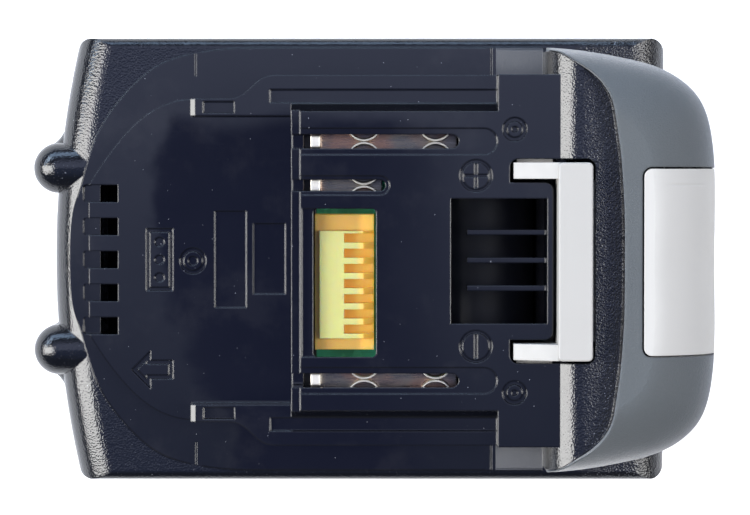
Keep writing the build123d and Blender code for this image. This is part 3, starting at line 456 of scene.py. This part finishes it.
def grip_material():
    """The front grip: soft grey elastomer with a fine surface."""
    material, graph, shader = new_material("grip_elastomer")
    vector, _, _, _ = graph.place()
    fine = graph.noise(vector, scale=3.2, detail=3, roughness=0.7)
    tone = graph.noise(vector, scale=0.08, detail=3)
    graph.fill(shader, {
        "Specular IOR Level": 0.4,
        "Base Color": graph.blend(tone, GRIP_LOW, GRIP_HIGH),
        "Roughness": graph.varied(fine, low=0.5, high=0.66),
        "Normal": graph.bump(fine, depth=0.10, normal=graph.soft_edges(radius=0.5)),
        "Sheen Weight": 0.4,
        "Sheen Roughness": 0.4,
    })
    return material


def latch_material():
    """The release latch: pale satin plastic, its hook painted darker than the button as shade, with a
    faint sink mark on the button.
    """
    material, graph, shader = new_material("latch_satin")
    vector, x, y, _ = graph.place()
    tone = graph.noise(vector, scale=0.12, detail=4)
    hook_shaded = graph.blend(tone, HOOK_SHADED_LOW, HOOK_SHADED_HIGH)
    button = graph.blend(tone, BUTTON_LOW, BUTTON_HIGH)
    sink = graph.times(graph.remap(graph.away(y, SINK_Y), *SINK_WIDTH),
                       graph.remap(graph.away(x, SINK_X), *SINK_LENGTH))
    crease = graph.bump(graph.times(sink, -1.0), depth=SINK_DEPTH, normal=graph.soft_edges(radius=0.25))
    fine = graph.noise(vector, scale=6.0, detail=2)
    uneven = graph.noise(vector, scale=0.5, detail=3)
    graph.fill(shader, {
        "Specular IOR Level": 0.32,
        # Painted shade: the hook's colour is darker than the button's, though both are one plastic
        "Base Color": graph.blend(graph.remap(x, *BUTTON_X), hook_shaded, button),
        "Roughness": graph.varied(uneven, low=0.45, high=0.56),
        "Normal": graph.bump(fine, depth=0.003, normal=crease),
    })
    return material


# The signal connector's colours, which paint light, shade and a glow onto one amber nylon, and the places
# where they change
NYLON_LIT_TOP = (0.53, 0.51, 0.185, 1)
NYLON_SHADED_LEDGE = (0.62, 0.36, 0.066, 1)
NYLON_SLOT_SHADED = (0.75, 0.34, 0.03, 1)
NYLON_SLOT_LIT = (0.92, 0.58, 0.12, 1)
NYLON_TIPS_LIT = (0.85, 0.50, 0.10, 1)
NYLON_PAINTED_GLOW = (0.90, 0.52, 0.06, 1)
NYLON_PAINTED_GLOW_STRENGTH = 0.20
RAISED_Z = (50.2, 51.3)
SLOTS_Z = (49.6, 48.8)
SLOTS_X = (-5.0, -1.5)
TIPS_X = (-3.2, -1.4)


def signal_material():
    """The signal connector: translucent amber nylon, with painted light and shade, and a painted glow in
    its slots and at its tips.
    """
    material, graph, shader = new_material("amber_nylon")
    vector, x, _, z = graph.place()
    slots = graph.remap(z, *SLOTS_Z)
    tips = graph.remap(x, *TIPS_X)
    # Painted shade and light: the slots are a deeper orange at the rear and a brighter orange at the front
    slots_lit_and_shaded = graph.blend(graph.remap(x, *SLOTS_X), NYLON_SLOT_SHADED, NYLON_SLOT_LIT)
    # Painted light: the raised tops are pale and the lower ledges a deeper orange
    colour = graph.blend(graph.remap(z, *RAISED_Z), NYLON_SHADED_LEDGE, NYLON_LIT_TOP)
    colour = graph.blend(slots, colour, slots_lit_and_shaded)
    fine = graph.noise(vector, scale=3.0, detail=2)
    graph.fill(shader, {
        # Painted light: the finger tips are painted a brighter warm colour
        "Base Color": graph.blend(tips, colour, NYLON_TIPS_LIT),
        "Roughness": 0.42,
        "Normal": graph.bump(fine, depth=0.004, normal=graph.soft_edges(radius=0.2)),
        # Painted glow: the slots and tips give off light, standing in for light through the nylon
        "Emission Color": NYLON_PAINTED_GLOW,
        "Emission Strength": graph.times(graph.largest(slots, tips), NYLON_PAINTED_GLOW_STRENGTH),
        "Subsurface Weight": 0.8,
        "Subsurface Scale": 1.8 * MM,
        "Subsurface Radius": (1.0, 0.55, 0.12),
    })
    return material


# The contacts: a grey base plate worn down to copper in places, and bright tin above it
PLATE_TOP_Z = (48.0, 47.6)
PLATE_LOW = (0.15, 0.135, 0.115, 1)
PLATE_HIGH = (0.22, 0.20, 0.17, 1)
COPPER = (0.34, 0.19, 0.13, 1)
COPPER_SHARE = 0.8
TIN_LOW = (0.72, 0.69, 0.60, 1)
TIN_HIGH = (0.88, 0.85, 0.76, 1)
TIN_ROUGHNESS = 0.44

# The circuit board, whose green is painted far lighter than solder mask as light on its shadowed strip,
# and which is masked black behind the signal connector
LIT_MASK_LOW = (0.050, 0.56, 0.34, 1)
LIT_MASK_HIGH = (0.070, 0.64, 0.40, 1)
MASK_BLACK = (0.008, 0.006, 0.007, 1)
MASK_BLACK_X = (-9.6, -9.9)

# Zinc plated steel
STEEL_LOW = (0.42, 0.43, 0.45, 1)
STEEL_HIGH = (0.60, 0.60, 0.60, 1)


def contact_material():
    """The contacts: brushed metal, worn on the base plate."""
    material, graph, shader = new_material("tinned_contact")
    vector, _, _, z = graph.place()
    brushed = graph.noise(vector, scale=1.0, detail=2, roughness=0.5, stretch=(0.3, 3.0, 0.5))
    worn = graph.remap(graph.noise(vector, scale=0.12, detail=2), low=0.42, high=0.6)
    low = graph.remap(z, *PLATE_TOP_Z)
    grey = graph.blend(brushed, PLATE_LOW, PLATE_HIGH)
    plate = graph.blend(graph.times(worn, COPPER_SHARE), grey, COPPER)
    tin = graph.blend(brushed, TIN_LOW, TIN_HIGH)
    graph.fill(shader, {
        "Metallic": 1.0,
        "Base Color": graph.blend(low, tin, plate),
        "Roughness": graph.mix(low, TIN_ROUGHNESS, graph.varied(brushed, low=0.24, high=0.34)),
        "Normal": graph.bump(brushed, depth=0.002, normal=graph.soft_edges(radius=0.4)),
    })
    return material


def board_material():
    """The circuit board: green mask, painted lighter as light, over raised tracks."""
    material, graph, shader = new_material("board_mask")
    vector, x, _, _ = graph.place()
    pattern = graph.noise(vector, scale=0.5, detail=1, roughness=0.4, stretch=(1.0, 0.25, 1.0))
    tracks = graph.remap(pattern, low=0.52, high=0.56)
    # Painted light: the green is far lighter than solder mask, standing in for light on the shadowed strip
    mask = graph.blend(tracks, LIT_MASK_LOW, LIT_MASK_HIGH)
    graph.fill(shader, {
        "Base Color": graph.blend(graph.remap(x, *MASK_BLACK_X), mask, MASK_BLACK),
        "Roughness": 0.3,
        "Normal": graph.bump(tracks, depth=0.02),
    })
    return material


def steel_material():
    """Screws and springs: zinc plated steel."""
    material, graph, shader = new_material("zinc_steel")
    vector, _, _, _ = graph.place()
    tone = graph.noise(vector, scale=0.8, detail=3)
    fine = graph.noise(vector, scale=5.0, detail=2)
    graph.fill(shader, {
        "Metallic": 1.0,
        "Base Color": graph.blend(tone, STEEL_LOW, STEEL_HIGH),
        "Roughness": graph.varied(tone, low=0.25, high=0.5),
        "Normal": graph.bump(fine, depth=0.004, normal=graph.soft_edges(radius=0.1)),
    })
    return material


def plain_material(name, dark, light, roughness, metallic=0.0):
    """A moulded or plated finish for the pieces inside, with a little variation."""
    material, graph, shader = new_material(name)
    vector, _, _, _ = graph.place()
    tone = graph.noise(vector, scale=0.4, detail=4)
    fine = graph.noise(vector, scale=3.0, detail=2)
    graph.fill(shader, {
        "Metallic": metallic,
        "Base Color": graph.blend(tone, (*dark, 1), (*light, 1)),
        "Roughness": roughness,
        "Normal": graph.bump(fine, depth=0.006, normal=graph.soft_edges(radius=0.15)),
    })
    return material


give(case_material(), "lower_case")
give(cover_material(), "upper_cover")
give(grip_material(), "front_grip")
give(latch_material(), "release_latch")
give(signal_material(), "connector_housing")
give(contact_material(), "positive_terminal", "negative_terminal", "signal_terminal")
give(plain_material("gold_plate", dark=(0.62, 0.34, 0.08), light=(0.72, 0.42, 0.11), roughness=0.4,
                    metallic=1.0), "connector_pins")
give(board_material(), "circuit_board")
give(steel_material(), "board_screws", "case_screws", "latch_base_screws", "latch_spring_left",
     "latch_spring_right")
give(plain_material("holder_nylon", dark=(0.012, 0.012, 0.014), light=(0.02, 0.02, 0.022), roughness=0.55),
     "cell_holder_left", "cell_holder_right", "latch_base")
# Painted shade: the cell sleeves are painted near black, so the cells seen through the air port read as
# shade
give(plain_material("cell_sleeve", dark=(0.006, 0.007, 0.012), light=(0.010, 0.011, 0.018), roughness=0.6),
     *[name for name in nodes if name.startswith(("cell_lower", "cell_upper"))])
give(plain_material("nickel_strip", dark=(0.5, 0.49, 0.46), light=(0.66, 0.64, 0.6), roughness=0.35,
                    metallic=1.0),
     *[name for name in nodes if name.endswith("strip") or name.startswith("bridge_strip")])
give(plain_material("fibre_paper", dark=(0.62, 0.6, 0.5), light=(0.72, 0.7, 0.6), roughness=0.8),
     "cell_insulators", "insulation_sheet_left", "insulation_sheet_right")
give(plain_material("chip_epoxy", dark=(0.012, 0.012, 0.014), light=(0.022, 0.022, 0.024), roughness=0.5),
     "controller_chip", "transistors", "thermistor", "fuse")
give(plain_material("capacitor_can", dark=(0.5, 0.51, 0.53), light=(0.65, 0.66, 0.68), roughness=0.3,
                    metallic=1.0), "capacitors")


def shortening_spring(name):
    """A copy of a spring's mesh that stands for the node, which is hidden."""
    coil = bpy.data.objects.new(name + "_coil", nodes[name].data.copy())
    bpy.context.scene.collection.objects.link(coil)
    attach(coil, "case")
    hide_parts(name)
    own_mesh(coil)


shortening_spring("latch_spring_left")
shortening_spring("latch_spring_right")


# The camera looks down from far above, a little off the middle, at a place on the part. The lens is its
# focal length, and it sees as far as FARTHEST_METRES
CAMERA_X = 0.17
CAMERA_Y = 15.1
CAMERA_Z = 600.0
TARGET_Y = 0.15
TARGET_Z = 36.5
LENS = 157.7
FARTHEST_METRES = 10

# The white floor: its size and its drop below the part in metres, how bright it is drawn, and what share
# of that the glossy surfaces mirror
FLOOR_SIZE = 6
FLOOR_DROP = 0.0002
FLOOR_COLOUR = (0.82, 0.82, 0.82, 1)
FLOOR_GLOW = 0.62
FLOOR_MIRRORED = 0.45

# The height in metres that the lamps point at, and their colours
AIM_Z = 0.045
LAMP_WHITE = (1.0, 0.995, 0.98)
WINDOW_BLUE = (0.50, 0.70, 1.0)
CORNER_BLUE = (0.62, 0.78, 1.0)

# The sky overhead from -Y to +Y, its dark patch, and the sky lower down and at the horizon
SKY_REAR = (0.15, 0.19, 0.38, 1)
SKY_FRONT = (0.80, 0.90, 1.35, 1)
SKY_DARK = (0.11, 0.14, 0.36, 1)
SKY_MIDDLE = (0.07, 0.075, 0.10, 1)
SKY_HORIZON = (0.26, 0.27, 0.30, 1)

# Where those parts of the sky change, along the direction's three parts
SKY_ALONG = (-0.14, 0.13)
MIDDLE_UP = (0.97, 0.75)
HORIZON_UP = (0.25, 0.0)
DARK_LEFT = (-0.0665, -0.0635)
DARK_RIGHT = (0.035, -0.005)
DARK_FAR = (0.017, 0.013)
DARK_NEAR = (-0.102, -0.092)

# The dark patch's left side is wispy, and it leans inwards on the near side of LEAN_START
WISP_SCALE = 45.0
WISP_SHIFT = 0.016
LEAN_START = -0.03
LEAN = 0.4


def look_at(piece, target):
    """Turns a lamp to point at a place."""
    piece.rotation_euler = (Vector(target) - piece.location).to_track_quat("-Z", "Y").to_euler()


def floor():
    """A white floor, drawn bright for the camera and dimmer in reflections, which keeps the shadow."""
    bpy.ops.mesh.primitive_plane_add(size=FLOOR_SIZE, location=(0, 0, -FLOOR_DROP))
    plane = bpy.context.object
    plane.name = "studio_floor"
    material, graph, shader = new_material("floor_white")
    graph.fill(shader, {"Base Color": FLOOR_COLOUR, "Roughness": 0.9, "Specular IOR Level": 0.2})
    path = graph.add("ShaderNodeLightPath")
    mirrored = graph.times(path.outputs["Is Glossy Ray"], FLOOR_MIRRORED)
    seen = graph.largest(path.outputs["Is Camera Ray"], mirrored)
    glow = graph.add("ShaderNodeEmission")
    graph.fill(glow, {"Color": WHITE, "Strength": graph.times(seen, FLOOR_GLOW)})
    both = graph.add("ShaderNodeAddShader")
    graph.put(both.inputs[0], shader.outputs[0])
    graph.put(both.inputs[1], glow.outputs[0])
    graph.put(material.node_tree.nodes["Material Output"].inputs["Surface"], both.outputs[0])
    plane.data.materials.append(material)


def softbox(name, azimuth, elevation, distance, width, height, power, colour):
    """An area light on a sphere round the object, pointing at it. Angles in degrees, lengths in metres."""
    data = bpy.data.lights.new(name, "AREA")
    data.shape = "RECTANGLE"
    data.size = width
    data.size_y = height
    data.energy = power
    data.color = colour
    lamp = bpy.data.objects.new(name, data)
    bpy.context.scene.collection.objects.link(lamp)
    turn = math.radians(azimuth)
    across = math.cos(math.radians(elevation)) * distance
    rise = math.sin(math.radians(elevation)) * distance
    lamp.location = (math.cos(turn) * across, math.sin(turn) * across, rise + AIM_Z)
    look_at(lamp, (0, 0, AIM_Z))


def world():
    """A white background. In reflections and as fill, a dim sky, lighter and bluer towards +Y."""
    made = bpy.data.worlds.new("studio")
    bpy.context.scene.world = made
    made.use_nodes = True
    graph = Graph(made.node_tree)
    direction = graph.add("ShaderNodeTexCoord").outputs["Generated"]
    across, along, up = graph.parts(direction)
    over = graph.blend(graph.remap(along, *SKY_ALONG), SKY_REAR, SKY_FRONT)
    wisps = graph.minus(graph.noise(direction, scale=WISP_SCALE, detail=4, roughness=0.6), NOISE_MIDDLE)
    lean = graph.largest(graph.minus(LEAN_START, along), 0.0)
    edge = graph.minus(graph.plus(across, graph.times(wisps, WISP_SHIFT)), graph.times(lean, LEAN))
    dark = graph.times(graph.remap(edge, *DARK_LEFT), graph.remap(across, *DARK_RIGHT),
                       graph.remap(along, *DARK_FAR), graph.remap(along, *DARK_NEAR))
    over = graph.blend(dark, over, SKY_DARK)
    sky = graph.blend(graph.remap(up, *MIDDLE_UP), over, SKY_MIDDLE)
    sky = graph.blend(graph.remap(up, *HORIZON_UP), sky, SKY_HORIZON)
    path = graph.add("ShaderNodeLightPath")
    graph.put(made.node_tree.nodes["Background"].inputs["Color"],
              graph.blend(path.outputs["Is Camera Ray"], sky, WHITE))


def camera():
    """The camera, turned so that the part's front is at the right of the picture."""
    data = bpy.data.cameras.new("view")
    data.lens = LENS
    data.clip_end = FARTHEST_METRES
    made = bpy.data.objects.new("view", data)
    bpy.context.scene.collection.objects.link(made)
    made.location = (CAMERA_X * MM, CAMERA_Y * MM, CAMERA_Z * MM)
    made.rotation_euler = (-math.atan2(CAMERA_Y - TARGET_Y, CAMERA_Z - TARGET_Z), 0, 0)
    bpy.context.scene.camera = made


floor()
world()
softbox("left_softbox", azimuth=184, elevation=39, distance=0.7, width=0.34, height=0.62, power=7.8,
        colour=LAMP_WHITE)
softbox("right_softbox", azimuth=0, elevation=47, distance=0.9, width=0.26, height=0.72, power=5.4,
        colour=LAMP_WHITE)
softbox("window_fill", azimuth=97, elevation=26, distance=1.1, width=1.2, height=0.38, power=6.4,
        colour=WINDOW_BLUE)
softbox("corner_fill", azimuth=145, elevation=28, distance=1.0, width=0.6, height=0.25, power=3.6,
        colour=CORNER_BLUE)
camera()
bpy.context.scene.view_settings.view_transform = "Standard"
